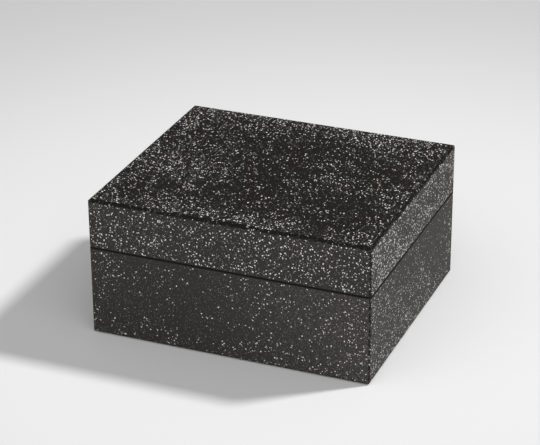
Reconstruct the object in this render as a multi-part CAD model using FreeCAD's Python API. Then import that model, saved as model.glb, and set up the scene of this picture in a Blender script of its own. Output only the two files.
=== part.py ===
import FreeCAD, Part
import math
import os

# A writing box with a flush lift-off lid, a lift-out tray and the writing tools that lie in it.
# Millimetres, +Z up, with the origin in the middle of the underside.
# The long side lies along X and the front faces -Y.

# Outside of the closed box
case_length = 242.0
case_depth = 212.0
case_height = 121.0
lid_height = 43.0

# Boards of the box and the lid
wall_thick = 5.5
bottom_thick = 6.0
top_thick = 6.0

# Rounded edges of the outside
corner_radius = 3.0
shoulder_radius = 3.6
foot_radius = 3.5
lip_radius = 1.2

# Splines hidden in the mitred corners
spline_thick = 1.6
spline_width = 4.0
spline_cover = 8.0

# Lining boards, whose upper edge is the rim that the lid slips over
lining_thick = 3.0
lining_round = 0.8
rim_rise = 6.0
lid_clearance = 0.3

# Lift-out tray and the ledges that carry it
ledge_width = 5.0
ledge_height = 8.0
tray_clearance = 0.5
tray_height = 26.0
tray_rise = 8.0
tray_wall_thick = 4.0
tray_floor_thick = 4.0
tray_round = 1.0
notch_width = 40.0
notch_depth = 8.0
partition_thick = 3.0
partition_height = 14.0
item_clearance = 0.5

# Inkstone
stone_height = 20.0
stone_corner_radius = 5.0
stone_edge_radius = 1.5
stone_rim = 6.0
stone_pocket_radius = 4.0
land_depth = 3.0
sea_depth = 11.0
sea_length = 30.0
slope_length = 16.0

# Water dropper and the pieces that keep it and the inkstone in place
stop_thick = 8.0
stop_height = 12.0
dropper_length = 56.0
dropper_width = 60.0
dropper_height = 14.0
dropper_skin = 1.2
dropper_corner_radius = 6.0
dropper_edge_radius = 1.5
block_height = 8.0
spout_radius = 2.6
spout_bore = 1.2
spout_rise = 3.0
spout_inset = 12.0
air_hole_radius = 1.2

# Writing brushes
brush_radius = 4.2
brush_hair_length = 38.0
fine_brush_radius = 3.2
fine_brush_hair_length = 27.0
fine_brush_setback = 16.0
collar_wall = 0.8
collar_grip = 5.0
hair_belly_swell = 0.5
hair_taper = 0.7
hair_tip_radius = 0.4
brush_gap = 6.4
brush_end_gap = 5.0
axis_rise = 7.0
rest_length = 8.0
rest_inset = 24.0
groove_clearance = 0.3

# Ink stick
stick_length = 76.0
stick_width = 22.0
stick_height = 9.0
stick_round = 1.5
stick_gap = 2.5

# Paper knife
knife_width = 11.0
knife_height = 7.0
knife_round = 2.0
knife_handle_length = 88.0
knife_collar_length = 7.0
blade_length = 62.0
blade_width = 10.0
blade_thick = 1.6
blade_tip_length = 18.0
knife_tang_length = 26.0
knife_tang_width = 5.0

# Awl
awl_radius = 4.5
awl_round = 2.0
awl_handle_length = 82.0
awl_collar_length = 7.0
spike_length = 48.0
spike_radius = 1.6
spike_tip_radius = 0.3
awl_tang_length = 24.0
tool_gap = 3.0
tool_end_gap = 16.0
tool_rest_inset = 14.0

# Heights that the sizes above give
seam_z = case_height - lid_height
rim_top_z = seam_z + rim_rise
tray_top_z = rim_top_z + tray_rise
tray_z = tray_top_z - tray_height
lane_z = tray_z + tray_floor_thick
axis_z = lane_z + axis_rise

# Plan sizes that the sizes above give
inside_length = case_length - 2 * wall_thick
inside_depth = case_depth - 2 * wall_thick
store_length = inside_length - 2 * lining_thick
store_depth = inside_depth - 2 * lining_thick
tray_length = store_length - 2 * tray_clearance
tray_depth = store_depth - 2 * tray_clearance
lane_length = tray_length - 2 * tray_wall_thick
lanes_depth = tray_depth - 2 * tray_wall_thick
left_x = -lane_length / 2
right_x = lane_length / 2

# Lanes from front to back: the brushes, the inkstone with the dropper, the ink stick with the tools
collar_radius = brush_radius + collar_wall
fine_collar_radius = fine_brush_radius + collar_wall
brush_lane = 2 * (collar_radius + fine_collar_radius) + 3 * brush_gap
rest_depth = knife_width + 2 * awl_radius + 3 * tool_gap
tool_lane = 2 * stick_gap + stick_width + rest_depth
brush_lane_front = -lanes_depth / 2
stone_lane_front = brush_lane_front + brush_lane + partition_thick
tool_lane_back = lanes_depth / 2
tool_lane_front = tool_lane_back - tool_lane
stone_lane_back = tool_lane_front - partition_thick
stone_lane_middle = (stone_lane_front + stone_lane_back) / 2

# Where the long tools lie across their lanes
brush_y = brush_lane_front + brush_gap + collar_radius
fine_brush_y = brush_lane_front + brush_lane - brush_gap - fine_collar_radius
knife_y = tool_lane_back - rest_depth + tool_gap + knife_width / 2
knife_z = axis_z - knife_height / 2
awl_y = tool_lane_back - tool_gap - awl_radius

# Places along the inkstone's lane
dropper_bay_x = right_x - dropper_length - 2 * item_clearance
stop_x = dropper_bay_x - stop_thick
stone_length = stop_x - left_x - 2 * item_clearance
stone_width = stone_lane_back - stone_lane_front - 2 * item_clearance

X_AXIS = FreeCAD.Vector(1, 0, 0)
Y_AXIS = FreeCAD.Vector(0, 1, 0)
Z_AXIS = FreeCAD.Vector(0, 0, 1)
SIDES = ("front", "right", "back", "left")
MITRE_ANGLE = 45
FULL_TURN = 360
NEAR = 1e-3


def at(x, y, z):
    return FreeCAD.Vector(x, y, z)


def block(x_span, y_span, z_span):
    """A plain box between two values on each axis."""
    sizes = [high - low for low, high in (x_span, y_span, z_span)]
    return Part.makeBox(*sizes, at(x_span[0], y_span[0], z_span[0]))


def centred(size):
    return (-size / 2, size / 2)


def layer(z_span):
    """A slab wider than the case between two heights."""
    return block(centred(2 * case_length), centred(2 * case_depth), z_span)


def rod(x, y, radius, length):
    """A round bar along X at the height where the brushes and the awl lie."""
    return Part.makeCylinder(radius, length, at(x, y, axis_z), X_AXIS)


def one_solid(shape):
    """The single solid that a boolean leaves, without needless face splits."""
    return shape.removeSplitter().Solids[0]


def edges_along(shape, axis, z=None):
    """The straight edges that run along an axis, at one height if z is given."""
    found = []
    for edge in shape.Edges:
        parallel = abs(edge.tangentAt(edge.FirstParameter).dot(axis)) > 1 - NEAR
        level = z is None or abs(edge.CenterOfMass.z - z) < NEAR
        if parallel and level and edge.Length > NEAR:
            found.append(edge)
    return found


def rounded(shape, radius, axis, z=None):
    return shape.makeFillet(radius, edges_along(shape, axis, z))


def rounded_block(length, depth, z_span, plan_radius, low_radius, high_radius):
    """A box about the Z axis with upright corners, lower edges and upper edges of their own radii.

    It is what three prisms have in common, one along each axis, so a radius may be larger
    than the one it meets.
    """
    plain = block(centred(length), centred(depth), z_span)
    prisms = []
    for axis in (X_AXIS, Y_AXIS):
        prism = rounded(plain, high_radius, axis, z_span[1])
        if low_radius:
            prism = rounded(prism, low_radius, axis, z_span[0])
        prisms.append(prism)
    if plan_radius:
        prisms.append(rounded(plain, plan_radius, Z_AXIS))
    shape = prisms[0]
    for prism in prisms[1:]:
        shape = shape.common(prism)
    return one_solid(shape)


def corners(length, depth, grow):
    x = length / 2 + grow
    y = depth / 2 + grow
    return [(-x, -y), (x, -y), (x, y), (-x, y)]


def mitred_sides(ring, length, depth, thick):
    """A ring of the given outside, cut through its corners into four boards."""
    low = ring.BoundBox.ZMin
    high = ring.BoundBox.ZMax
    outer = corners(length, depth, thick)
    inner = corners(length, depth, -2 * thick)
    boards = {}
    for number, side in enumerate(SIDES):
        following = (number + 1) % len(SIDES)
        outline = [outer[number], outer[following], inner[following], inner[number], outer[number]]
        face = Part.Face(Part.makePolygon([at(x, y, low) for x, y in outline]))
        wedge = face.extrude(Z_AXIS * (high - low))
        boards[side] = one_solid(ring.common(wedge))
    return boards


def mitre_splines(thick, z_span):
    """A strip inside each corner of the case, across the mitre and short of both ends."""
    strip_z = (z_span[0] + spline_cover, z_span[1] - spline_cover)
    strip = block(centred(spline_thick), centred(spline_width), strip_z)
    strips = []
    for x, y in corners(case_length, case_depth, -thick / 2):
        turned = strip.copy()
        turned.rotate(at(0, 0, 0), Z_AXIS, math.copysign(MITRE_ANGLE, x * y))
        turned.translate(at(x, y, 0))
        strips.append(turned)
    return Part.makeCompound(strips)


def case_walls(shell, thick, z_span, prefix):
    """The four walls of the box or the lid with the splines that lock their corners."""
    hollow = block(centred(case_length - 2 * thick), centred(case_depth - 2 * thick), z_span)
    splines = mitre_splines(thick, z_span)
    ring = shell.common(layer(z_span)).cut(hollow)
    nodes = {}
    for side, board in mitred_sides(ring, case_length, case_depth, thick).items():
        nodes[prefix + "_" + side + "_wall"] = one_solid(board.cut(splines))
    nodes[prefix + "_mitre_splines"] = splines
    return nodes


def lower_box():
    shell = rounded_block(case_length, case_depth, (0, seam_z), corner_radius, foot_radius, lip_radius)
    nodes = {"bottom_board": one_solid(shell.common(layer((0, bottom_thick))))}
    nodes.update(case_walls(shell, wall_thick, (bottom_thick, seam_z), "box"))

    lining_z = (bottom_thick, rim_top_z)
    lining = rounded_block(inside_length, inside_depth, lining_z, 0, 0, lining_round)
    ring = lining.cut(block(centred(store_length), centred(store_depth), lining_z))
    for side, board in mitred_sides(ring, inside_length, inside_depth, lining_thick).items():
        nodes["lining_" + side] = board

    ledge_z = (tray_z - ledge_height, tray_z)
    for side, sign in (("left", -1), ("right", 1)):
        across = sorted((sign * store_length / 2, sign * (store_length / 2 - ledge_width)))
        nodes["tray_ledge_" + side] = block(across, centred(store_depth), ledge_z)
    return nodes


def lid():
    inner_top_z = case_height - top_thick
    lid_wall = wall_thick - lid_clearance
    lid_z = (seam_z, case_height)
    shell = rounded_block(case_length, case_depth, lid_z, corner_radius, lip_radius, shoulder_radius)
    nodes = {"lid_top_board": one_solid(shell.common(layer((inner_top_z, case_height))))}
    nodes.update(case_walls(shell, lid_wall, (seam_z, inner_top_z), "lid"))
    return nodes


def finger_notch():
    """A shallow round cut through the front and back walls of the tray."""
    radius = (notch_width**2 / 4 + notch_depth**2) / (2 * notch_depth)
    start = at(0, -tray_depth, tray_top_z - notch_depth + radius)
    return Part.makeCylinder(radius, 2 * tray_depth, start, Y_AXIS)


def cradle(x, lane, round_handles):
    """A low bar across a lane with a half-round groove for each round handle."""
    span = (x - rest_length / 2, x + rest_length / 2)
    bar = block(span, lane, (lane_z, axis_z))
    for y, radius in round_handles:
        bar = bar.cut(rod(span[0], y, radius + groove_clearance, rest_length))
    return one_solid(bar)


def brush_rests():
    """Two low cradles across the brush lane, under the handle's rear and just behind the collar."""
    lane = (brush_lane_front, brush_lane_front + brush_lane)
    handles = ((brush_y, brush_radius), (fine_brush_y, fine_brush_radius))
    fine_tip = brush_end_gap + fine_brush_setback
    brush_front = brush_end_gap + brush_hair_length
    fine_brush_front = fine_tip + fine_brush_hair_length
    right_rest_x = right_x - max(brush_front, fine_brush_front) - collar_grip - rest_inset
    return {
        "brush_rest_left": cradle(left_x + rest_inset, lane, handles),
        "brush_rest_right": cradle(right_rest_x, lane, handles),
    }


def tool_rests():
    """Two cradles for the handles of the knife and the awl."""
    lane = (tool_lane_back - rest_depth, tool_lane_back)
    shortest = min(knife_handle_length, awl_handle_length)
    rear_x = left_x + tool_end_gap
    half_slot = knife_width / 2 + groove_clearance
    slot = block((left_x, right_x), (knife_y - half_slot, knife_y + half_slot), (knife_z, axis_z))
    rests = {}
    for side, inset in (("left", tool_rest_inset), ("right", shortest - tool_rest_inset)):
        bar = cradle(rear_x + inset, lane, ((awl_y, awl_radius),))
        rests["tool_rest_" + side] = one_solid(bar.cut(slot))
    return rests


def tray():
    wall_z = (lane_z, tray_top_z)
    nodes = {"tray_floor": block(centred(tray_length), centred(tray_depth), (tray_z, lane_z))}
    shell = rounded_block(tray_length, tray_depth, wall_z, 0, 0, tray_round)
    ring = shell.cut(block(centred(lane_length), centred(lanes_depth), wall_z)).cut(finger_notch())
    for side, board in mitred_sides(ring, tray_length, tray_depth, tray_wall_thick).items():
        nodes["tray_" + side + "_wall"] = board

    lane = (left_x, right_x)
    partition_z = (lane_z, lane_z + partition_height)
    brush_side = (stone_lane_front - partition_thick, stone_lane_front)
    tool_side = (stone_lane_back, stone_lane_back + partition_thick)
    nodes["brush_partition"] = block(lane, brush_side, partition_z)
    nodes["tool_partition"] = block(lane, tool_side, partition_z)

    stone_lane = (stone_lane_front, stone_lane_back)
    nodes["stone_stop"] = block((stop_x, dropper_bay_x), stone_lane, (lane_z, lane_z + stop_height))
    bay = (dropper_bay_x, right_x)
    block_z = (lane_z, lane_z + block_height)
    held = dropper_width / 2 + item_clearance
    nodes["dropper_block_front"] = block(bay, (stone_lane_front, stone_lane_middle - held), block_z)
    nodes["dropper_block_back"] = block(bay, (stone_lane_middle + held, stone_lane_back), block_z)

    nodes.update(brush_rests())
    nodes.update(tool_rests())
    return nodes


def inkstone():
    """A slab with a shallow grinding land that slopes into a deep well at the dropper's end."""
    top_z = lane_z + stone_height
    rear_x = left_x + item_clearance
    front_x = rear_x + stone_length
    stone_z = (lane_z, top_z)
    slab = rounded_block(stone_length, stone_width, stone_z, stone_corner_radius, 0, stone_edge_radius)
    slab.translate(at((rear_x + front_x) / 2, stone_lane_middle, 0))

    land_x = rear_x + stone_rim
    sea_end_x = front_x - stone_rim
    sea_x = sea_end_x - sea_length
    profile = [
        (land_x, top_z),
        (land_x, top_z - land_depth),
        (sea_x - slope_length, top_z - land_depth),
        (sea_x, top_z - sea_depth),
        (sea_end_x, top_z - sea_depth),
        (sea_end_x, top_z),
        (land_x, top_z),
    ]
    half = stone_width / 2 - stone_rim
    side_y = stone_lane_middle - half
    face = Part.Face(Part.makePolygon([at(x, side_y, z) for x, z in profile]))
    pocket = face.extrude(Y_AXIS * 2 * half)
    outline = block((land_x, sea_end_x), (side_y, side_y + 2 * half), stone_z)
    pocket = pocket.common(rounded(outline, stone_pocket_radius, Z_AXIS))
    return {"inkstone": one_solid(slab.cut(pocket))}


def water_dropper():
    """A covered metal vessel with a short spout at one corner and an air hole at the other."""
    middle_x = (dropper_bay_x + right_x) / 2
    lip_z = lane_z + dropper_height - dropper_skin
    top_z = lane_z + dropper_height
    shell = block(centred(dropper_length), centred(dropper_width), (lane_z, lip_z))
    shell = rounded(rounded(shell, dropper_corner_radius, Z_AXIS), dropper_edge_radius, X_AXIS, lane_z)
    hollow_x = centred(dropper_length - 2 * dropper_skin)
    hollow_y = centred(dropper_width - 2 * dropper_skin)
    hollow = block(hollow_x, hollow_y, (lane_z + dropper_skin, lip_z))
    hollow = rounded(hollow, dropper_corner_radius - dropper_skin, Z_AXIS)
    vessel = shell.cut(hollow)

    cover = block(centred(dropper_length), centred(dropper_width), (lip_z, top_z))
    cover = rounded(cover, dropper_corner_radius, Z_AXIS)
    spout_x = dropper_length / 2 - spout_inset
    spout_y = dropper_width / 2 - spout_inset
    seat = Part.makeCylinder(spout_radius, dropper_skin, at(-spout_x, -spout_y, lip_z))
    air_hole = Part.makeCylinder(air_hole_radius, dropper_skin, at(spout_x, spout_y, lip_z))
    cover = cover.cut(seat).cut(air_hole)
    spout_height = dropper_skin + spout_rise
    spout = Part.makeCylinder(spout_radius, spout_height, at(-spout_x, -spout_y, lip_z))
    spout = spout.cut(Part.makeCylinder(spout_bore, spout_height, at(-spout_x, -spout_y, lip_z)))

    nodes = {"dropper_vessel": vessel, "dropper_cover": cover, "dropper_spout": spout}
    for shape in nodes.values():
        shape.translate(at(middle_x, stone_lane_middle, 0))
    return {name: one_solid(shape) for name, shape in nodes.items()}


def brush(prefix, y, radius, hair_length, tip_x):
    """A brush along X whose rear end is at the tray's left end and whose hair ends at tip_x.

    The collar sleeves over the end of the handle and the root of the hair. The hair swells
    at a quarter of its length and tapers from the middle.
    """
    rear_x = left_x + brush_end_gap
    hair_x = tip_x - hair_length - collar_grip
    handle = rod(rear_x, y, radius, hair_x - rear_x)
    collar_x = hair_x - collar_grip
    collar = rod(collar_x, y, radius + collar_wall, 2 * collar_grip)
    collar = collar.cut(rod(collar_x, y, radius, 2 * collar_grip))

    root_x = hair_x + collar_grip
    belly_x = root_x + hair_length / 4
    waist_x = root_x + hair_length / 2
    taper_x = root_x + 3 * hair_length / 4
    rear = at(hair_x, y, axis_z)
    shoulder = at(hair_x, y, axis_z + radius)
    root = at(root_x, y, axis_z + radius)
    belly = at(belly_x, y, axis_z + radius + hair_belly_swell)
    waist = at(waist_x, y, axis_z + radius)
    taper = at(taper_x, y, axis_z + hair_taper * radius)
    tip = at(tip_x, y, axis_z + hair_tip_radius)
    point = at(tip_x, y, axis_z)
    outline = [
        Part.makeLine(rear, shoulder),
        Part.makeLine(shoulder, root),
        Part.Arc(root, belly, waist).toShape(),
        Part.Arc(waist, taper, tip).toShape(),
        Part.makeLine(tip, point),
        Part.makeLine(point, rear),
    ]
    hair = one_solid(Part.Face(Part.Wire(outline)).revolve(rear, X_AXIS, FULL_TURN))
    return {prefix + "_handle": handle, prefix + "_collar": collar, prefix + "_hair": hair}


def ink_stick():
    """A flat stick with rounded edges, lying on the tray floor."""
    rear_x = left_x + tool_end_gap
    front_y = tool_lane_front + stick_gap
    along = (rear_x, rear_x + stick_length)
    across = (front_y, front_y + stick_width)
    stick = block(along, across, (lane_z, lane_z + stick_height))
    return {"ink_stick": stick.makeFillet(stick_round, stick.Edges)}


def paper_knife():
    """A blade with a rounded tip whose tang runs through a collar into the handle."""
    rear_x = left_x + tool_end_gap
    collar_x = rear_x + knife_handle_length
    blade_x = collar_x + knife_collar_length
    tip_x = blade_x + blade_length
    half = knife_width / 2
    sides = (knife_y - half, knife_y + half)
    height = (knife_z, knife_z + knife_height)
    low_z = knife_z + (knife_height - blade_thick) / 2

    back_y = knife_y + blade_width / 2
    edge_y = knife_y - blade_width / 2
    bend_x = tip_x - blade_tip_length
    tip_radius = (blade_tip_length**2 + blade_width**2) / (2 * blade_width)
    half_turn = math.asin(blade_tip_length / tip_radius) / 2
    middle_x = bend_x + tip_radius * math.sin(half_turn)
    middle_y = edge_y + tip_radius * (1 - math.cos(half_turn))
    root_back = at(blade_x, back_y, low_z)
    root_edge = at(blade_x, edge_y, low_z)
    bend = at(bend_x, edge_y, low_z)
    tip = at(tip_x, back_y, low_z)
    outline = [
        Part.makeLine(root_back, tip),
        Part.Arc(tip, at(middle_x, middle_y, low_z), bend).toShape(),
        Part.makeLine(bend, root_edge),
        Part.makeLine(root_edge, root_back),
    ]
    blade = Part.Face(Part.Wire(outline)).extrude(Z_AXIS * blade_thick)
    half_tang = knife_tang_width / 2
    tang_x = (blade_x - knife_tang_length, blade_x)
    tang_y = (knife_y - half_tang, knife_y + half_tang)
    tang = block(tang_x, tang_y, (low_z, low_z + blade_thick))
    handle = rounded(block((rear_x, collar_x), sides, height), knife_round, X_AXIS)
    collar = rounded(block((collar_x, blade_x), sides, height), knife_round, X_AXIS)
    return {
        "knife_handle": one_solid(handle.cut(tang)),
        "knife_collar": one_solid(collar.cut(tang)),
        "knife_blade": one_solid(blade.fuse(tang)),
    }


def awl():
    """A round spike whose tang runs through a collar into a round handle."""
    rear_x = left_x + tool_end_gap
    collar_x = rear_x + awl_handle_length
    spike_x = collar_x + awl_collar_length
    handle = rod(rear_x, awl_y, awl_radius, awl_handle_length)
    rear_edge = [edge for edge in handle.Edges if abs(edge.BoundBox.XMax - rear_x) < NEAR]
    handle = handle.makeFillet(awl_round, rear_edge)
    collar = rod(collar_x, awl_y, awl_radius, awl_collar_length)
    tang = rod(spike_x - awl_tang_length, awl_y, spike_radius, awl_tang_length)
    spike_start = at(spike_x, awl_y, axis_z)
    spike = Part.makeCone(spike_radius, spike_tip_radius, spike_length, spike_start, X_AXIS)
    return {
        "awl_handle": one_solid(handle.cut(tang)),
        "awl_collar": one_solid(collar.cut(tang)),
        "awl_spike": one_solid(spike.fuse(tang)),
    }


def export(nodes):
    os.makedirs("parts", exist_ok=True)
    for name, shape in nodes.items():
        shape.exportStep("parts/" + name + ".step")


export(lower_box())
export(lid())
export(tray())
export(inkstone())
export(water_dropper())
export(brush("brush", brush_y, brush_radius, brush_hair_length, right_x - brush_end_gap))
fine_tip_x = right_x - brush_end_gap - fine_brush_setback
export(brush("fine_brush", fine_brush_y, fine_brush_radius, fine_brush_hair_length, fine_tip_x))
export(ink_stick())
export(paper_knife())
export(awl())
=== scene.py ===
import math
import random
from types import SimpleNamespace

import bmesh
import bpy
from mathutils import Matrix, Vector


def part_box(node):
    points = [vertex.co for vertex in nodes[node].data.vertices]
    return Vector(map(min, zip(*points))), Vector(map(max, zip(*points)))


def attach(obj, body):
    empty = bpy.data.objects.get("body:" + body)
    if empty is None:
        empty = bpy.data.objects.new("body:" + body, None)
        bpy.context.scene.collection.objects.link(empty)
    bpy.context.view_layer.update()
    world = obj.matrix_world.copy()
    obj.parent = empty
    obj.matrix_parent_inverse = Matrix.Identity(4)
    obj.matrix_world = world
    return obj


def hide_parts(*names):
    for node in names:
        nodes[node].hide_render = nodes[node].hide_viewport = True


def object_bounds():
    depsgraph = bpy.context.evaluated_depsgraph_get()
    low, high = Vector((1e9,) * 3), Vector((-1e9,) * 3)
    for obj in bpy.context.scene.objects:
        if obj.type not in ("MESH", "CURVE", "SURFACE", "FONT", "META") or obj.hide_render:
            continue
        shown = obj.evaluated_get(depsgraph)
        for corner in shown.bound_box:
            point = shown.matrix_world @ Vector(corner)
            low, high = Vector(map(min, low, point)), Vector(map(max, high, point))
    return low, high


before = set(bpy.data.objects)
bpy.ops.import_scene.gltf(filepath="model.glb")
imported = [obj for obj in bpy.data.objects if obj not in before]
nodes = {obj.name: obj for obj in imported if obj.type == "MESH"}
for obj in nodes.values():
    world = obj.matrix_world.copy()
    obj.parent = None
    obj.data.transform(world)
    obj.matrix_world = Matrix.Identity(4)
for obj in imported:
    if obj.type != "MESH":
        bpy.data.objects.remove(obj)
cad_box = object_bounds()

MM = 0.001
WELD_DISTANCE = 0.001 * MM

# The camera of the photograph, in metres, degrees and pixels of its 540 by 445 frame
PHOTO_WIDTH = 540
CAMERA_PLACE = (0.583, -1.442, 0.829)
CAMERA_YAW = -22.212
CAMERA_PITCH = 25.900
CAMERA_ROLL = -0.353
FOCAL_PIXELS = 2076
SENSOR_WIDTH = 36.0
FARTHEST_VIEW = 50.0

# The studio: a pale floor with a painted pool of light round the box, darker farther out, and one soft lamp
# behind on the right
FLOOR_SIZE = 12.0
FLOOR_LIT_BY_PAINTED_POOL = (0.82, 0.82, 0.82, 1)
FLOOR_OUTSIDE_PAINTED_POOL = (0.55, 0.55, 0.55, 1)
PAINTED_LIGHT_POOL_CENTRE = (0.03, 0.0, 0.0)
PAINTED_LIGHT_POOL_RADII = (0.19, 0.90)
KEY_DIRECTION = (0.5525, 0.3930, 0.7417)
KEY_DISTANCE = 12.0
KEY_SIZE = 1.38
KEY_LEVEL = 0.754

# The world: what lights the object, what its gloss reflects, and the level of the backdrop.
# A glow has a direction, the facing of it where the glow starts, the one where it is full, and a level
FILL_BASE = 0.18
FILL_GLOW = ((0.14, -0.82, 0.55), 0.2, 1.0, 0.95)
ROOM_LOW_LEVEL = 0.10
ROOM_HIGH_LEVEL = 0.04
ROOM_HIGH = 0.8
KEY_GLOW = (KEY_DIRECTION, 0.90, 0.98, 2.5)
FRONT_GLOW = ((0.14, -0.98, 0.14), 0.4, 1.0, 0.9)
BACKDROP_LEVEL = 0.45

# The sprinkled flakes in three sizes: a shift of their grid, the cell, and then in cells the
# smallest and largest radius, the chance of a flake in a thin and a thick cloud, and the brightness
FLAKES = (
    ((0.0, 0.0, 0.0), 1.0 * MM, (0.16, 0.36), (0.12, 0.70), (0.06, 0.32)),
    ((3.1, 1.7, 5.3), 1.7 * MM, (0.15, 0.29), (0.05, 0.60), (0.70, 1.0)),
    ((7.3, 2.9, 1.1), 3.0 * MM, (0.13, 0.20), (0.05, 0.75), (0.90, 1.0)),
)
# The dust of flakes on the plain lacquer inside, from the cell on as above
DUST = (2.0 * MM, (0.06, 0.12), (0.0, 0.40), (0.2, 1.0))
# How far a flake's outline strays from a circle
FLAKE_WOBBLE = 0.4 * MM
# The clouds thicken within this distance of an edge, and a little on the lid
EDGE_REACH = 35.0 * MM
EDGE_SHARE = 0.10
LID_SHARE = 0.05
CLOUD_RANGE = (0.40, 0.76)
# How densely the flakes lie: everywhere, and then more or less on the sides, the front and back,
# and the lid's walls
DENSITY = 1.1
SIDE_DENSITY = -0.35
FRONT_DENSITY = 0.60
LID_WALL_DENSITY = 0.60
# How much more densely the finest flakes lie on the lower box
LOWER_DUST = 0.35
# The size of the flakes as a factor: everywhere, and then larger on the sides, the top and the lid
FLAKE_SIZE = 0.95
SIDE_SIZE = 0.17
TOP_SIZE = 0.12
LID_SIZE = 0.13
# The bands beside the joint that are without flakes, and that carry the painted shade of the joint at its
# darkest, as full and none
CLEAR_BAND = (1.2 * MM, 1.7 * MM)
PAINTED_SHADE_BAND = (0.7 * MM, 1.3 * MM)
# How deep a rounded edge is when the flakes are rubbed off and the painted dark reflection lies on it, as
# none and full
WEAR_AND_SHADE_DEPTH = (0.04 * MM, 0.25 * MM)
# Where the outside's finish gives way to the inside's, as a depth below the faces
OUTSIDE_DEPTH = (1.5 * MM, 2.0 * MM)
# The painted reflection on the front and back of the lower box, a paler grey film, and where along X it
# starts and is full
PAINTED_REFLECTION_COLOUR = (0.034, 0.031, 0.031, 1)
PAINTED_REFLECTION_REACH = (-50.0 * MM, 100.0 * MM)
# How near to the plane of a face a point counts as on it
FACE_DEPTH = 0.5 * MM
# The height of the joint between the box and its lid
SEAM_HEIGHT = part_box("lid_front_wall")[0][2]

# Woods: the pale and the dark colour, the stretch along the grain and the rings to the metre
BARE_WOOD = ((0.42, 0.27, 0.14, 1), (0.24, 0.13, 0.06, 1), 0.08, 520.0)
BAMBOO = ((0.66, 0.48, 0.24, 1), (0.48, 0.31, 0.13, 1), 0.03, 900.0)
DARK_BAMBOO = ((0.24, 0.12, 0.05, 1), (0.10, 0.045, 0.02, 1), 0.03, 900.0)
# Metals: the bare and the tarnished colour, the range of the roughness and the scratches to the metre
COPPER = ((0.74, 0.40, 0.27, 1), (0.40, 0.20, 0.12, 1), (0.34, 0.46), 600.0)
BRASS = ((0.72, 0.53, 0.25, 1), (0.36, 0.24, 0.10, 1), (0.18, 0.36), 1200.0)
STEEL = ((0.60, 0.60, 0.61, 1), (0.34, 0.34, 0.36, 1), (0.18, 0.34), 2400.0)

# The widths of the softened edges, and the angles from which an edge is softened or kept sharp
BOARD_EDGE = 0.4 * MM
HANDLE_EDGE = 0.3 * MM
COLLAR_EDGE = 0.3 * MM
DROPPER_EDGE = 0.25 * MM
SOFTENED_ANGLE = math.radians(50)
SHARP_ANGLE = math.radians(40)

# The inkstone's rim, its shallow land and the deep sea at the dropper's end
STONE_RIM = 6.0 * MM
LAND_DEPTH = 3.0 * MM
SEA_DEPTH = 11.0 * MM
SEA_LENGTH = 30.0 * MM
SLOPE_LENGTH = 16.0 * MM
LAND_WEAR = 0.5 * MM
STONE_CORNER = 5.0 * MM
BASIN_CORNER = 4.0 * MM
BASIN_RINGS = 12
WORN_RINGS = 6
# The stone's outline in millimetres: insets with a rise from the bottom, then with a fall from the top
STONE_FOOT = ((1.2, 0.0), (0.4, 0.3), (0.0, 1.1))
STONE_SHOULDER = ((0.0, 1.5), (0.15, 0.8), (0.6, 0.25), (1.5, 0.0))
STONE_LIP = ((4.6, 0.0), (5.4, 0.1), (5.9, 0.5), (6.1, 1.1))
# The basin's wall: insets in millimetres, with the share of the way from the lip to the floor
BASIN_WALL = ((6.3, 0.35), (6.5, 0.7), (6.9, 0.9), (7.6, 0.98), (8.6, 1.0))

# The ink stick: its raised border and sunk panel in millimetres, and how far one side of its worn
# end is ground away
STICK_BORDER = 2.2
STICK_PANEL_DEPTH = 0.6
STICK_SLANT = 2.88 * MM
STICK_WORN_LENGTH = 4.0 * MM
# Its corners' largest and smallest radius in millimetres, and the radius lost for each one of inset
STICK_CORNERS = (2.0, 0.6)
CORNER_LOSS = 0.4
# Its outline in millimetres: insets with a rise from the bottom, then with a fall from the top
STICK_FOOT = ((1.5, 0.0), (0.5, 0.35), (0.0, 1.4))
STICK_TOP = (
    (0.0, 1.4),
    (0.4, 0.4),
    (1.3, 0.0),
    (1.0 + STICK_BORDER, 0.0),
    (1.3 + STICK_BORDER, 0.15),
    (1.5 + STICK_BORDER, STICK_PANEL_DEPTH),
    (3.5 + STICK_BORDER, STICK_PANEL_DEPTH),
)

# The knife's ground edge, its rounded tip and its tang
GRIND_WIDTH = 6.0 * MM
GRIND_SHARE = 0.7
EDGE_THICK = 0.2 * MM
BLADE_TIP_LENGTH = 18.0 * MM
BLADE_TIP_WIDTH = 0.3 * MM
BLADE_TIP_CURVE = 2.2
BLADE_TIP_STEPS = 14
TANG_HALF_WIDTH = 2.4 * MM
TANG_SHORT = 0.2 * MM

# Turned profiles: places along the axis in millimetres, with shares of the radius
STEM_STEPS = 40
STEM_END = ((0.0, 0.55), (0.3, 0.8), (1.2, 0.97))
KNOT = ((-3.0, 0.975), (-1.0, 0.985), (-0.45, 1.0), (0.0, 0.965), (0.45, 0.995), (1.2, 0.975))
KNOT_PLACES = (0.30, 0.72)
STEM_SHARE = 0.975
AWL_END = ((0.0, 0.35), (0.35, 0.68), (1.3, 0.9))
AWL_RING = ((0.6, 0.95), (0.0, 0.87), (-0.6, 0.95))
AWL_RING_PLACES = (9.0, 6.5)
AWL_FRONT_SHARE = 0.98
AWL_SHARE = 0.95
AWL_SWELL = 0.05
AWL_SWELL_START = 2.4 * MM
AWL_SWELL_LOSS = 14.0 * MM
AWL_ROWS = 16
# The ferrule in millimetres: places from an end or a groove's middle, with the depth below its radius
FERRULE_STEPS = 48
FERRULE_BACK = ((0.0, 0.3), (0.4, 0.0))
FERRULE_FRONT = ((0.6, 0.0), (0.0, 0.35))
GROOVE = ((-0.25, 0.0), (0.0, 0.2), (0.25, 0.0))
GROOVE_PLACES = (1.6, 2.6)

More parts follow.
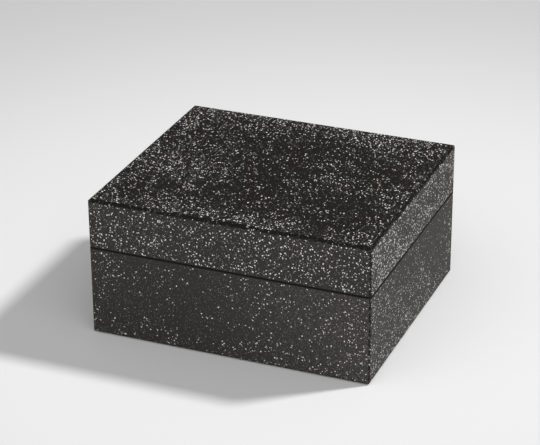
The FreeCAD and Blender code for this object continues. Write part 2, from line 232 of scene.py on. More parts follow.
# The tuft of hair, in shares of the stem's radius and of its own free length
TUFT_STEPS = 72
TUFT_ROWS = 18
TUFT_ROOT_SHARE = 0.6
TUFT_NECK = 0.5 * MM
TUFT_NECK_SHARE = 0.95
TUFT_SHARE = 0.97
STRAND_DEPTH = 0.13
STRAND_START = 0.3
BELLY = 0.12
BELLY_LENGTH = 0.5
TAPER_START = 0.35
TAPER_LENGTH = 0.66
TAPER_POWER = 1.35
TUFT_POINT = 0.15 * MM


def add_camera():
    """A pinhole camera placed and turned as the photograph's edges say."""
    data = bpy.data.cameras.new("camera")
    data.sensor_width = SENSOR_WIDTH
    data.lens = FOCAL_PIXELS / PHOTO_WIDTH * SENSOR_WIDTH
    data.clip_end = FARTHEST_VIEW
    camera = bpy.data.objects.new("camera", data)
    bpy.context.scene.collection.objects.link(camera)
    yaw, pitch, roll = (math.radians(angle) for angle in (CAMERA_YAW, CAMERA_PITCH, CAMERA_ROLL))
    forward = Vector((math.sin(yaw) * math.cos(pitch), math.cos(yaw) * math.cos(pitch), -math.sin(pitch)))
    level = Vector((math.cos(yaw), -math.sin(yaw), 0))
    upright = level.cross(forward)
    right = math.cos(roll) * level + math.sin(roll) * upright
    up = math.cos(roll) * upright - math.sin(roll) * level
    turn = Matrix((right, up, -forward)).transposed()
    camera.matrix_world = Matrix.Translation(CAMERA_PLACE) @ turn.to_4x4()
    bpy.context.scene.camera = camera


class Nodes:
    """Short forms for building a node tree."""

    def __init__(self, tree):
        self.tree = tree

    def add(self, kind, inputs=None, **settings):
        """A new node with its properties set, and with a link or a value on each named input."""
        node = self.tree.nodes.new(kind)
        for name, value in settings.items():
            setattr(node, name, value)
        for name, value in (inputs or {}).items():
            socket = node.inputs[name]
            if isinstance(value, bpy.types.NodeSocket):
                self.tree.links.new(value, socket)
            else:
                socket.default_value = value
        return node

    def math(self, operation, first, second=0.0, third=0.0, clamp=False):
        values = {0: first, 1: second, 2: third}
        return self.add("ShaderNodeMath", values, operation=operation, use_clamp=clamp).outputs[0]

    def weighted(self, base, *terms):
        """A base with masks added to it, each times its weight."""
        total = base
        for mask, weight in terms:
            total = self.math("MULTIPLY_ADD", mask, weight, total)
        return total

    def vector(self, operation, first, second):
        inputs = {0: first, 1: second}
        return self.add("ShaderNodeVectorMath", inputs, operation=operation).outputs[0]

    def scaled(self, vector, factor):
        inputs = {0: vector, "Scale": factor}
        return self.add("ShaderNodeVectorMath", inputs, operation="SCALE").outputs[0]

    def measure(self, operation, first, second):
        """A number from two vectors, such as their distance."""
        inputs = {0: first, 1: second}
        return self.add("ShaderNodeVectorMath", inputs, operation=operation).outputs["Value"]

    def axes(self, vector):
        return self.add("ShaderNodeSeparateXYZ", {"Vector": vector}).outputs

    def ramp(self, value, low, high, out_low=0.0, out_high=1.0, shape="SMOOTHSTEP"):
        """A smooth step from out_low at low to out_high at high."""
        inputs = {"Value": value, "From Min": low, "From Max": high, "To Min": out_low, "To Max": out_high}
        return self.add("ShaderNodeMapRange", inputs, interpolation_type=shape).outputs["Result"]

    def linear(self, value, low, high, out_low=0.0, out_high=1.0):
        """A straight ramp."""
        return self.ramp(value, low, high, out_low, out_high, shape="LINEAR")

    def mix(self, factor, first, second):
        """A blend of two colours."""
        inputs = {0: factor, 6: first, 7: second}
        return self.add("ShaderNodeMix", inputs, data_type="RGBA").outputs[2]

    def blend(self, factor, first, second):
        """A blend of two numbers."""
        return self.add("ShaderNodeMix", {0: factor, 2: first, 3: second}).outputs[0]

    def noise(self, place, scale, detail=2.0, roughness=0.5, output="Fac"):
        """Noise with about scale features to the metre."""
        inputs = {"Vector": place, "Scale": scale, "Detail": detail, "Roughness": roughness}
        return self.add("ShaderNodeTexNoise", inputs).outputs[output]

    def place(self, scale=(1.0, 1.0, 1.0)):
        """The point in the object's own metres, times scale."""
        point = self.add("ShaderNodeTexCoord").outputs["Object"]
        if scale == (1.0, 1.0, 1.0):
            return point
        return self.vector("MULTIPLY", point, scale)

    def bump(self, height, distance):
        inputs = {"Height": height, "Distance": distance, "Strength": 1.0}
        return self.add("ShaderNodeBump", inputs).outputs[0]

    def surface(self, **inputs):
        """Finishes the material with one principled shader."""
        named = {name.replace("_", " "): value for name, value in inputs.items()}
        shader = self.add("ShaderNodeBsdfPrincipled", named)
        self.add("ShaderNodeOutputMaterial", {"Surface": shader.outputs[0]})


def new_material(name):
    material = bpy.data.materials.new(name)
    material.use_nodes = True
    material.node_tree.nodes.clear()
    return material, Nodes(material.node_tree)


def add_floor():
    """A pale floor with a painted pool of light: its colour darkens away from the box."""
    size = FLOOR_SIZE / 2
    mesh = bpy.data.meshes.new("floor")
    corners = [(-size, -size, 0), (size, -size, 0), (size, size, 0), (-size, size, 0)]
    mesh.from_pydata(corners, [], [(0, 1, 2, 3)])
    floor = bpy.data.objects.new("floor", mesh)
    bpy.context.scene.collection.objects.link(floor)
    material, kit = new_material("floor")
    reach = kit.measure("DISTANCE", kit.place(), PAINTED_LIGHT_POOL_CENTRE)
    # painted pool of light: the floor's colour darkens with distance from the box
    colour = kit.mix(kit.ramp(reach, *PAINTED_LIGHT_POOL_RADII), FLOOR_LIT_BY_PAINTED_POOL, FLOOR_OUTSIDE_PAINTED_POOL)
    kit.surface(Base_Color=colour, Roughness=0.9, Specular_IOR_Level=0.0)
    mesh.materials.append(material)


def add_key_lamp():
    """A disk lamp far away that no reflection shows, because the world's glow stands for it there."""
    data = bpy.data.lights.new("key", "AREA")
    data.shape = "DISK"
    data.size = KEY_SIZE
    data.energy = KEY_LEVEL * math.pi**2 * KEY_DISTANCE**2
    key = bpy.data.objects.new("key", data)
    key.visible_glossy = False
    key.location = Vector(KEY_DIRECTION).normalized() * KEY_DISTANCE
    key.rotation_euler = key.location.to_track_quat("Z", "Y").to_euler()
    bpy.context.scene.collection.objects.link(key)


def add_world():
    """White light that is stronger from the front, a dark room with two glows for gloss, and a backdrop."""
    world = bpy.data.worlds.new("studio")
    world.use_nodes = True
    world.node_tree.nodes.clear()
    bpy.context.scene.world = world
    kit = Nodes(world.node_tree)
    light_path = kit.add("ShaderNodeLightPath").outputs
    sky = kit.add("ShaderNodeTexCoord").outputs["Generated"]

    def glow(direction, start, full, level):
        facing = kit.measure("DOT_PRODUCT", sky, Vector(direction).normalized())
        return kit.ramp(facing, start, full, 0.0, level)

    fill = kit.math("ADD", glow(*FILL_GLOW), FILL_BASE)
    height = kit.axes(sky)["Z"]
    room = kit.ramp(height, 0.0, ROOM_HIGH, ROOM_LOW_LEVEL, ROOM_HIGH_LEVEL)
    seen = kit.math("ADD", kit.math("ADD", room, glow(*KEY_GLOW)), glow(*FRONT_GLOW))
    level = kit.blend(light_path["Is Glossy Ray"], fill, seen)
    level = kit.blend(light_path["Is Camera Ray"], level, BACKDROP_LEVEL)
    background = kit.add("ShaderNodeBackground", {"Color": (1, 1, 1, 1), "Strength": level})
    kit.add("ShaderNodeOutputWorld", {"Surface": background.outputs[0]})


def flakes(kit, place, cloud, size, cell, sizes, chances, levels):
    """Random round flakes in one grid of cells, each with its own share of the size and brightness."""
    cells = kit.add("ShaderNodeTexVoronoi", {"Vector": place, "Scale": 1 / cell}, feature="F1")
    dice = kit.add("ShaderNodeSeparateColor", {0: cells.outputs["Color"]}).outputs
    radius = kit.math("MULTIPLY", kit.linear(dice[0], 0.0, 1.0, *sizes), size)
    inside = kit.math("LESS_THAN", cells.outputs["Distance"], radius)
    present = kit.math("LESS_THAN", dice[1], kit.linear(cloud, 0.0, 1.0, *chances))
    bright = kit.linear(dice[2], 0.0, 1.0, *levels)
    return kit.math("MULTIPLY", kit.math("MULTIPLY", inside, present), bright)


def plain_lacquer(kit, place):
    """The colour and roughness of satin black lacquer with a little dust of flakes."""
    black = (0.016, 0.012, 0.010, 1)
    paler = (0.024, 0.020, 0.018, 1)
    gold = (0.52, 0.42, 0.26, 1)
    dust = flakes(kit, place, kit.noise(place, 30.0), 1.0, *DUST)
    ground = kit.mix(kit.noise(place, 40.0, detail=3.0), black, paler)
    colour = kit.mix(kit.math("MULTIPLY", dust, 0.5), ground, gold)
    rough = kit.linear(kit.noise(place, 60.0, detail=3.0), 0.3, 0.7, 0.26, 0.40)
    return colour, rough


def where_on_case(kit, place):
    """Tells where a point of the closed case is, as numbers and as masks of its faces.

    Three distances tell it: from the sides, from the front or back, and from the top or bottom of
    the lid or the lower box. The smallest is zero on a flat face and grows on a rounded edge. The
    middle one is the distance to the nearest edge.
    """
    x, y, z = kit.axes(place)
    right, back, top = cad_box[1]
    side = kit.math("SUBTRACT", right, kit.math("ABSOLUTE", x))
    front = kit.math("SUBTRACT", back, kit.math("ABSOLUTE", y))
    below_top = kit.math("SUBTRACT", top, z)
    on_lid = kit.math("GREATER_THAN", z, SEAM_HEIGHT)
    foot = kit.math("SUBTRACT", z, kit.math("MULTIPLY", on_lid, SEAM_HEIGHT))
    level = kit.math("MINIMUM", foot, below_top)
    least = kit.math("MINIMUM", side, front)
    other = kit.math("MINIMUM", kit.math("MAXIMUM", side, front), level)
    return SimpleNamespace(
        x=x,
        below_top=below_top,
        rounding=kit.math("MINIMUM", least, level),
        edge=kit.math("MAXIMUM", least, other),
        seam=kit.math("ABSOLUTE", kit.math("SUBTRACT", z, SEAM_HEIGHT)),
        on_lid=on_lid,
        on_top=kit.math("LESS_THAN", below_top, FACE_DEPTH),
        on_side=kit.math("LESS_THAN", side, FACE_DEPTH),
        on_front=kit.math("LESS_THAN", front, FACE_DEPTH),
    )


def worn_and_shaded_edges(kit, place, spot):
    """Where the flakes are rubbed off the rounded edges in a ragged line, most of all round the top; the same
    mask lays a painted dark reflection there.
    """
    rag = kit.ramp(kit.noise(place, 380.0, detail=3.0), 0.38, 0.60, 0.03, 1.5)
    ragged = kit.math("MULTIPLY", spot.rounding, rag)
    ragged = kit.math("MULTIPLY", ragged, kit.ramp(spot.below_top, 3.0 * MM, 6.0 * MM, 1.0, 0.35))
    return kit.ramp(ragged, *WEAR_AND_SHADE_DEPTH)


def flake_clouds(kit, place, spot):
    """How densely the flakes lie: in clouds that gather at the edges, and by face."""
    wide = kit.noise(place, 12.0)
    close = kit.noise(place, 100.0, roughness=0.6)
    cloud = kit.math("ADD", kit.math("MULTIPLY", wide, 0.5), kit.math("MULTIPLY", close, 0.5))
    cloud = kit.math("ADD", cloud, kit.ramp(spot.edge, 0.0, EDGE_REACH, EDGE_SHARE, 0.0))
    cloud = kit.weighted(cloud, (spot.on_lid, LID_SHARE))
    cloud = kit.ramp(cloud, *CLOUD_RANGE)
    upright = kit.math("MAXIMUM", spot.on_side, spot.on_front)
    lid_wall = kit.math("MULTIPLY", spot.on_lid, upright)
    by_face = ((spot.on_side, SIDE_DENSITY), (spot.on_front, FRONT_DENSITY), (lid_wall, LID_WALL_DENSITY))
    return kit.math("MULTIPLY", cloud, kit.weighted(DENSITY, *by_face))


def sprinkled_flakes(kit, place, spot):
    """The brightness of the three sizes of flakes together, each flake a little off a circle."""
    cloud = flake_clouds(kit, place, spot)
    dusty = kit.math("ADD", cloud, kit.linear(spot.on_lid, 0.0, 1.0, LOWER_DUST, 0.0))
    by_face = ((spot.on_side, SIDE_SIZE), (spot.on_top, TOP_SIZE), (spot.on_lid, LID_SIZE))
    size = kit.weighted(FLAKE_SIZE, *by_face)
    wobble = kit.noise(place, 1400.0, detail=1.0, output="Color")
    shift = kit.scaled(kit.vector("SUBTRACT", wobble, (0.5, 0.5, 0.5)), FLAKE_WOBBLE)
    shaken = kit.vector("ADD", place, shift)
    grains = []
    for amount, (start, *grid) in zip((dusty, cloud, cloud), FLAKES):
        grains.append(flakes(kit, kit.vector("ADD", shaken, start), amount, size, *grid))
    fine, middle, large = grains
    return kit.math("MAXIMUM", kit.math("MAXIMUM", fine, middle), large)


def painted_front_reflection(kit, place, spot):
    """A painted reflection: a grained paler grey film on the front and back of the lower box, stronger to the
    right.
    """
    lower_front = kit.math("SUBTRACT", spot.on_front, spot.on_lid, clamp=True)
    painted_reflection_share = kit.math("MULTIPLY", kit.ramp(spot.x, *PAINTED_REFLECTION_REACH), lower_front)
    return kit.math("MULTIPLY", painted_reflection_share, kit.ramp(kit.noise(place, 700.0), 0.35, 0.65))


def sprinkled_lacquer():
    """Black lacquer with pale flakes outside, worn at the edges and the joint, with painted shade in the
    joint, a painted dark reflection on the worn edges and a painted reflection on the lower box's front and
    back, and plain inside.
    """
    warm_black = (0.0070, 0.0050, 0.0026, 1)
    cool_black = (0.0052, 0.0046, 0.0050, 1)
    # painted shade: the near-black ground of the joint and of the worn rounded edges
    painted_shade_black = (0.0015, 0.0014, 0.0013, 1)
    warm_flake = (0.95, 0.93, 0.80, 1)
    cool_flake = (0.94, 0.91, 0.92, 1)
    material, kit = new_material("sprinkled lacquer")
    place = kit.place()
    spot = where_on_case(kit, place)
    # worn: flakes rubbed off the rounded edges, and there also a painted dark reflection
    worn = worn_and_shaded_edges(kit, place, spot)
    clear = kit.math("MAXIMUM", worn, kit.ramp(spot.seam, *CLEAR_BAND, 1.0, 0.0))
    # dark: painted shade in the joint, and the painted dark reflection along the worn rounded edges
    dark = kit.math("MAXIMUM", worn, kit.ramp(spot.seam, *PAINTED_SHADE_BAND, 1.0, 0.0))
    flake = kit.math("MULTIPLY", sprinkled_flakes(kit, place, spot), kit.math("SUBTRACT", 1.0, clear))

    ground = kit.mix(kit.noise(place, 14.0, detail=1.0), warm_black, cool_black)
    # painted reflection: the lower box's front and back grow paler to the right
    ground = kit.mix(painted_front_reflection(kit, place, spot), ground, PAINTED_REFLECTION_COLOUR)
    # painted shade and painted dark reflection: the ground goes almost black and matt there
    ground = kit.mix(dark, ground, painted_shade_black)
    pale = kit.mix(kit.noise(place, 260.0, detail=0.0), warm_flake, cool_flake)
    colour = kit.mix(flake, ground, pale)
    rough = kit.linear(dark, 0.0, 1.0, 0.70, 1.0)

    inside = kit.ramp(spot.rounding, *OUTSIDE_DEPTH)
    plain, satin = plain_lacquer(kit, place)
    colour = kit.mix(inside, colour, plain)
    rough = kit.blend(inside, rough, satin)
    kit.surface(Base_Color=colour, Roughness=rough, IOR=1.6, Specular_Tint=(1.0, 0.96, 0.90, 1))
    return material


def black_lacquer():
    """Satin black lacquer over wood, brushed on in faint ripples."""
    material, kit = new_material("black lacquer")
    place = kit.place()
    colour, rough = plain_lacquer(kit, place)
    ripple = kit.bump(kit.noise(place, 240.0), 0.06 * MM)
    kit.surface(Base_Color=colour, Roughness=rough, Normal=ripple, IOR=1.5)
    return material


def wood(name, pale, dark, stretch, rings):
    """Oiled wood with long fibres along X; a small stretch makes a long grain."""
    material, kit = new_material(name)
    grain = kit.noise(kit.place((stretch, 1.0, 1.0)), rings, detail=4.0, roughness=0.65)
    fibre = kit.noise(kit.place((0.04, 1.0, 1.0)), 2600.0)
    mixed = kit.math("ADD", kit.math("MULTIPLY", grain, 0.7), kit.math("MULTIPLY", fibre, 0.3))
    colour = kit.mix(kit.ramp(mixed, 0.35, 0.65), pale, dark)
    rough = kit.linear(mixed, 0.3, 0.7, 0.42, 0.58)
    kit.surface(Base_Color=colour, Roughness=rough, Normal=kit.bump(mixed, 0.12 * MM))
    return material


def slate():
    """Honed dark slate with pale specks, and a dry film of ink where the stick is ground."""
    dark = (0.045, 0.047, 0.052, 1)
    paler = (0.085, 0.088, 0.095, 1)
    speck_colour = (0.30, 0.30, 0.31, 1)
    ink_colour = (0.012, 0.012, 0.014, 1)
    material, kit = new_material("slate")
    place = kit.place()
    cloud = kit.noise(place, 60.0, detail=5.0, roughness=0.6)
    speck = kit.ramp(kit.noise(place, 1500.0), 0.66, 0.74)
    stone = kit.mix(cloud, dark, paler)
    stone = kit.mix(kit.math("MULTIPLY", speck, 0.35), stone, speck_colour)
    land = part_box("inkstone")[1][2] - LAND_DEPTH
    film = kit.ramp(kit.axes(place)["Z"], land + 1.2 * MM, land - 3.0 * MM)
    film = kit.math("MULTIPLY", film, kit.ramp(cloud, 0.25, 0.6, 0.6, 1.0))
    colour = kit.mix(film, stone, ink_colour)
    rough = kit.linear(film, 0.0, 1.0, 0.62, 0.38)
    grain = kit.bump(kit.noise(place, 900.0, detail=3.0), 0.05 * MM)
    kit.surface(Base_Color=colour, Roughness=rough, Normal=grain)
    return material


def metal(name, colour, tarnish, roughness, scratches):
    """Metal with a cloudy film of dull tarnish, and with so many fine scratches to the metre along X."""
    material, kit = new_material(name)
    cloud = kit.ramp(kit.noise(kit.place(), 90.0, detail=4.0, roughness=0.6), 0.42, 0.72)
    scratch = kit.noise(kit.place((0.05, 1.0, 1.0)), scratches)
    tone = kit.mix(cloud, colour, tarnish)
    rough = kit.linear(kit.math("ADD", kit.math("MULTIPLY", cloud, 0.6), scratch), 0.3, 1.2, *roughness)
    bare = kit.linear(cloud, 0.0, 1.0, 0.85, 0.60)
    kit.surface(Base_Color=tone, Metallic=bare, Roughness=rough, Normal=kit.bump(scratch, 0.01 * MM))
    return material


def hair():
    """Pale stiffened hair with strands along X."""
    pale = (0.76, 0.66, 0.50, 1)
    dark = (0.44, 0.34, 0.23, 1)
    material, kit = new_material("hair")
    strand = kit.noise(kit.place((0.03, 1.0, 1.0)), 3600.0)
    colour = kit.mix(kit.ramp(strand, 0.35, 0.65), pale, dark)
    kit.surface(Base_Color=colour, Roughness=0.55, Normal=kit.bump(strand, 0.15 * MM), Sheen_Weight=0.2)
    return material


def horn():
    """Polished dark horn with pale streaks."""
    dark = (0.020, 0.015, 0.012, 1)
    pale = (0.22, 0.14, 0.07, 1)
    material, kit = new_material("horn")
    streak = kit.noise(kit.place((0.15, 1.0, 1.0)), 420.0, detail=4.0)
    colour = kit.mix(kit.ramp(streak, 0.5, 0.75), dark, pale)
    kit.surface(Base_Color=colour, Roughness=0.22, Coat_Weight=0.4)
    return material


def ink():
    """Pressed soot and glue: a soft black whose polish comes and goes."""
    black = (0.010, 0.010, 0.011, 1)
    bluish = (0.022, 0.022, 0.026, 1)
    material, kit = new_material("ink")
    cloud = kit.noise(kit.place(), 300.0, detail=3.0)
    colour = kit.mix(cloud, black, bluish)
    rough = kit.linear(cloud, 0.3, 0.7, 0.36, 0.55)
    kit.surface(Base_Color=colour, Roughness=rough, Normal=kit.bump(cloud, 0.05 * MM))
    return material


def dress(material, *names):
    for name in names:
        for slot in nodes[name].material_slots:
            slot.link = "OBJECT"
            slot.material = material


def soften(width, *names):
    """Breaks the sharp edges of CAD nodes, as sanding and lacquering do."""
    for name in names:
        weld = nodes[name].modifiers.new("joined faces", "WELD")
        weld.merge_threshold = WELD_DISTANCE
        bevel = nodes[name].modifiers.new("soft edges", "BEVEL")
        bevel.width = width
        bevel.segments = 2
        bevel.limit_method = "ANGLE"
        bevel.angle_limit = SOFTENED_ANGLE
        bevel.harden_normals = True


def add_piece(name, mesh, material, slot, body, *replaced):
    """Finishes a bmesh as a piece that rides on a body and stands for CAD nodes."""
    bmesh.ops.recalc_face_normals(mesh, faces=mesh.faces)
    data = bpy.data.meshes.new(name)
    mesh.to_mesh(data)
    mesh.free()
    data.shade_smooth()
    data.set_sharp_from_angle(angle=SHARP_ANGLE)
    data.materials.append(material)
    piece = bpy.data.objects.new(name, data)
    bpy.context.scene.collection.objects.link(piece)
    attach(piece, body)
    if replaced:
        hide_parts(*replaced)
    return piece


def skin(loops, closed_end=True):
    """A surface through loops with the same number of points, with a face on its first and last loop."""
    mesh = bmesh.new()
    rows = [[mesh.verts.new(point) for point in loop] for loop in loops]
    count = len(rows[0])
    for low, high in zip(rows, rows[1:]):
        for i in range(count):
            j = (i + 1) % count
            mesh.faces.new((low[i], low[j], high[j], high[i]))
    mesh.faces.new(rows[0])
    if closed_end:
        mesh.faces.new(rows[-1])
    bmesh.ops.remove_doubles(mesh, verts=mesh.verts, dist=WELD_DISTANCE)
    return mesh


def fill_rim(mesh):
    """Fills the one loop that is still open with triangles across it."""
    rim = [edge for edge in mesh.edges if len(edge.link_faces) == 1]
    bmesh.ops.triangle_fill(mesh, edges=rim, use_beauty=True)


def lathe(profile, axis, steps, share=None):
    """Turns (x, radius) pairs about the line along X through axis, times share(x, step) where given."""
    loops = []
    for x, radius in profile:
        loop = []
        for step in range(steps):
            angle = 2 * math.pi * step / steps
            reach = radius * (share(x, step) if share else 1.0)
            loop.append((x, axis[0] + reach * math.cos(angle), axis[1] + reach * math.sin(angle)))
        loops.append(loop)
    return skin(loops)


def plan_loop(half_x, half_y, radius, corner_steps=8, side_steps=24):
    """Points round a rounded rectangle, starting in the middle of its +X side."""
    arcs = []
    for corner, (sign_x, sign_y) in enumerate(((1, 1), (-1, 1), (-1, -1), (1, -1))):
        for step in range(corner_steps + 1):
            angle = math.pi / 2 * (corner + step / corner_steps)
            x = sign_x * (half_x - radius) + radius * math.cos(angle)
            y = sign_y * (half_y - radius) + radius * math.sin(angle)
            arcs.append((x, y))
    points = []
    for i, (x, y) in enumerate(arcs):
        points.append((x, y))
        if (i + 1) % (corner_steps + 1) == 0:
            next_x, next_y = arcs[(i + 1) % len(arcs)]
            for step in range(1, side_steps):
                part = step / side_steps
                points.append((x + (next_x - x) * part, y + (next_y - y) * part))
    start = len(points) - side_steps // 2
    return points[start:] + points[:start]


def smooth_step(value, low, high):
    part = min(max((value - low) / (high - low), 0.0), 1.0)
    return part * part * (3 - 2 * part)


def corners(name):
    """The lowest and highest corner of a CAD node's box."""
    low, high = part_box(name)
    return Vector(low), Vector(high)


def turned(name):
    """The ends along X, the axis as (y, z) and the radius of a turned CAD node."""
    low, high = corners(name)
    axis = ((low.y + high.y) / 2, (low.z + high.z) / 2)
    return SimpleNamespace(start=low.x, end=high.x, axis=axis, radius=(high.z - low.z) / 2)


def add_inkstone(material):
    """The stone with a soft rim, a worn land and a sea, in one smooth surface."""
    low, high = corners("inkstone")
    middle = (low + high) / 2
    half_x = (high.x - low.x) / 2
    half_y = (high.y - low.y) / 2
    sea_x = half_x - STONE_RIM - SEA_LENGTH
    slope_x = sea_x - SLOPE_LENGTH

    def floor_depth(x):
        return LAND_DEPTH + (SEA_DEPTH - LAND_DEPTH) * smooth_step(x, slope_x, sea_x)

    def plan(inset, corner=STONE_CORNER):
        return plan_loop(half_x - inset, half_y - inset, corner)

    loops = []
    for inset, rise in STONE_FOOT:
        loops.append([(x, y, low.z + rise * MM) for x, y in plan(inset * MM)])
    for inset, fall in STONE_SHOULDER + STONE_LIP:
        loops.append([(x, y, high.z - fall * MM) for x, y in plan(inset * MM)])
    lip_depth = STONE_LIP[-1][1] * MM
    for inset, share in BASIN_WALL:
        loop = []
        for x, y in plan(inset * MM, BASIN_CORNER):
            depth = lip_depth + (floor_depth(x) - lip_depth) * share
            loop.append((x, y, high.z - depth))
        loops.append(loop)
    inner = BASIN_WALL[-1][0] * MM
    for ring in range(1, BASIN_RINGS + 1):
        inset = inner + (half_y - inner) * ring / (BASIN_RINGS + 0.5)
        worn = LAND_WEAR * smooth_step(ring, 0, WORN_RINGS)
        loop = []
        for x, y in plan(inset, min(BASIN_CORNER, half_y - inset)):
            depth = floor_depth(x) + worn * (1 - smooth_step(x, slope_x, sea_x))
            loop.append((x, y, high.z - depth))
        loops.append(loop)
    mesh = skin([[(middle.x + x, middle.y + y, z) for x, y, z in loop] for loop in loops], closed_end=False)
    fill_rim(mesh)
    add_piece("carved_inkstone", mesh, material, "slate", "inkstone", "inkstone")


def add_stem(prefix, body, material, slot):
    """A bamboo stem with a rounded end and two knots."""
    stem = turned(prefix + "_handle")
    profile = [(stem.start + along * MM, stem.radius * share) for along, share in STEM_END]
    for part in KNOT_PLACES:
        knot = stem.start + (stem.end - stem.start) * part
        profile += [(knot + along * MM, stem.radius * share) for along, share in KNOT]
    profile.append((stem.end, stem.radius * STEM_SHARE))
    mesh = lathe(profile, stem.axis, STEM_STEPS)
    add_piece(prefix + "_bamboo", mesh, material, slot, body, prefix + "_handle")


def add_ferrule(prefix, body, material):
    """A horn ferrule with two grooves, whose ends come down to the stem."""
    stem = turned(prefix + "_handle")
    collar = turned(prefix + "_collar")
    profile = [(collar.start, stem.radius)]
    profile += [(collar.start + along * MM, collar.radius - sink * MM) for along, sink in FERRULE_BACK]
    for groove in GROOVE_PLACES:
        for along, sink in GROOVE:
            profile.append((collar.start + (groove + along) * MM, collar.radius - sink * MM))
    profile += [(collar.end - along * MM, collar.radius - sink * MM) for along, sink in FERRULE_FRONT]
    profile.append((collar.end, stem.radius))
    mesh = lathe(profile, stem.axis, FERRULE_STEPS)
    add_piece(prefix + "_ferrule", mesh, material, "horn", body, prefix + "_collar")


def add_tuft(prefix, body, material, seed):
    """A tuft with a belly and a point, furrowed between its strands, with its root in the ferrule."""
    stem = turned(prefix + "_handle")
    tuft = turned(prefix + "_hair")
    root = turned(prefix + "_collar").end
    free = tuft.end - root
    dice = random.Random(seed)
    furrows = [dice.uniform(0.0, 1.0) for _ in range(TUFT_STEPS)]

    def strand(x, step):
        return 1 - STRAND_DEPTH * furrows[step] * smooth_step(x, root, root + STRAND_START * free)

    profile = [(tuft.start, stem.radius * TUFT_ROOT_SHARE), (root - TUFT_NECK, stem.radius * TUFT_NECK_SHARE)]
    for row in range(TUFT_ROWS + 1):
        part = row / TUFT_ROWS
        belly = 1 + BELLY * math.sin(math.pi * min(part / BELLY_LENGTH, 1.0))
        taper = math.sqrt(max(1 - max(part - TAPER_START, 0) / TAPER_LENGTH, 0.0))
        radius = stem.radius * TUFT_SHARE * belly * taper**TAPER_POWER
        profile.append((root + free * part, max(radius, TUFT_POINT)))
    mesh = lathe(profile, stem.axis, TUFT_STEPS, strand)
    add_piece(prefix + "_tuft", mesh, material, "hair", body, prefix + "_hair")


def add_ink_stick(material):
    """The stick with a raised border on its upper face and one end worn aslant by grinding."""
    low, high = corners("ink_stick")
    middle = (low + high) / 2
    half_x = (high.x - low.x) / 2
    half_y = (high.y - low.y) / 2
    outline = [(inset, low.z + rise * MM) for inset, rise in STICK_FOOT]
    outline += [(inset, high.z - fall * MM) for inset, fall in STICK_TOP]
    largest, smallest = STICK_CORNERS
    loops = []
    for inset, z in outline:
        corner = max(largest - inset * CORNER_LOSS, smallest) * MM
        loop = []
        for x, y in plan_loop(half_x - inset * MM, half_y - inset * MM, corner):
            worn = smooth_step(x, half_x - STICK_WORN_LENGTH, half_x) * (y / half_y + 1) / 2
            loop.append((middle.x + x - STICK_SLANT * worn, middle.y + y, z))
        loops.append(loop)
    mesh = skin(loops, closed_end=False)
    fill_rim(mesh)
    add_piece("moulded_ink_stick", mesh, material, "ink", "ink_stick", "ink_stick")


def add_blade(material):
    """The knife's blade, ground to a thin edge, with its tang in the handle."""
    low, high = corners("knife_blade")
    collar_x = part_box("knife_collar")[1][0]
    back_y = high.y
    edge_y = low.y
    middle_y = turned("knife_handle").axis[0]
    middle_z = (low.z + high.z) / 2
    half_thick = (high.z - low.z) / 2
    bend_x = high.x - BLADE_TIP_LENGTH
    tang = (middle_y - TANG_HALF_WIDTH, middle_y + TANG_HALF_WIDTH, 0.0)
    stations = [(low.x, *tang), (collar_x - TANG_SHORT, *tang)]
    stations += [(collar_x, edge_y, back_y, 1.0), (bend_x, edge_y, back_y, 1.0)]
    for step in range(1, BLADE_TIP_STEPS + 1):
        part = step / BLADE_TIP_STEPS
        front = edge_y + (back_y - edge_y) * (1 - math.sqrt(max(1 - part**BLADE_TIP_CURVE, 0.0)))
        stations.append((bend_x + BLADE_TIP_LENGTH * part, min(front, back_y - BLADE_TIP_WIDTH), back_y, 1.0))
    loops = []
    for x, front, back, ground in stations:
        grind = min(GRIND_WIDTH, (back - front) * GRIND_SHARE) * ground
        thin = half_thick + (EDGE_THICK / 2 - half_thick) * ground
        section = [(back, -half_thick), (back, half_thick), (front + grind, half_thick), (front, thin)]
        section += [(front, -thin), (front + grind, -half_thick)]
        loops.append([(x, y, middle_z + z) for y, z in section])
    add_piece("ground_blade", skin(loops), material, "steel", "paper_knife", "knife_blade")


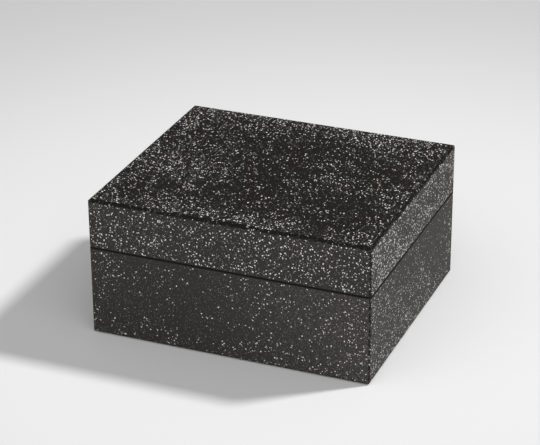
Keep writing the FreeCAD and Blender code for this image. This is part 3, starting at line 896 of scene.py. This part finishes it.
def add_awl_handle(material):
    """A turned handle with a swell in the middle and two cut rings near the collar."""
    handle = turned("awl_handle")
    profile = [(handle.start + along * MM, handle.radius * share) for along, share in AWL_END]
    swelling = handle.end - handle.start - AWL_SWELL_LOSS
    for row in range(1, AWL_ROWS):
        part = row / AWL_ROWS
        share = AWL_SHARE + AWL_SWELL * math.sin(math.pi * part)
        profile.append((handle.start + AWL_SWELL_START + swelling * part, handle.radius * share))
    for ring in AWL_RING_PLACES:
        profile += [(handle.end - (ring + along) * MM, handle.radius * share) for along, share in AWL_RING]
    profile.append((handle.end, handle.radius * AWL_FRONT_SHARE))
    mesh = lathe(profile, handle.axis, STEM_STEPS)
    add_piece("turned_awl_handle", mesh, material, "bare_wood", "awl", "awl_handle")


def nodes_named(*starts):
    return [name for name in nodes if name.startswith(starts)]


def finish_case_and_tray():
    dress(sprinkled_lacquer(), *nodes_named("box_", "lid_", "bottom_"))
    inner = nodes_named("lining_", "tray_", "brush_partition", "brush_rest", "tool_")
    inner += nodes_named("stone_stop", "dropper_block")
    dress(black_lacquer(), *inner)
    soften(BOARD_EDGE, *inner)


def finish_wood():
    bare_wood = wood("bare wood", *BARE_WOOD)
    dress(bare_wood, "box_mitre_splines", "lid_mitre_splines", "knife_handle")
    soften(HANDLE_EDGE, "knife_handle")
    add_awl_handle(bare_wood)


def finish_brushes():
    horn_material = horn()
    hair_material = hair()
    brushes = (
        ("brush", "writing_brush", wood("bamboo", *BAMBOO), "bamboo", 11),
        ("fine_brush", "fine_writing_brush", wood("dark bamboo", *DARK_BAMBOO), "dark_bamboo", 12),
    )
    for prefix, body, stem_material, stem_slot, seed in brushes:
        add_stem(prefix, body, stem_material, stem_slot)
        add_ferrule(prefix, body, horn_material)
        add_tuft(prefix, body, hair_material, seed)


def finish_metal():
    copper = metal("copper", *COPPER)
    dress(copper, "dropper_vessel", "dropper_cover", "dropper_spout")
    soften(DROPPER_EDGE, "dropper_vessel", "dropper_cover", "dropper_spout")
    brass = metal("brass", *BRASS)
    dress(brass, "knife_collar", "awl_collar")
    soften(COLLAR_EDGE, "knife_collar", "awl_collar")
    steel = metal("steel", *STEEL)
    dress(steel, "awl_spike")
    add_blade(steel)


add_camera()
add_floor()
add_key_lamp()
add_world()
bpy.context.scene.view_settings.view_transform = "Standard"
finish_case_and_tray()
finish_wood()
finish_brushes()
add_inkstone(slate())
add_ink_stick(ink())
finish_metal()
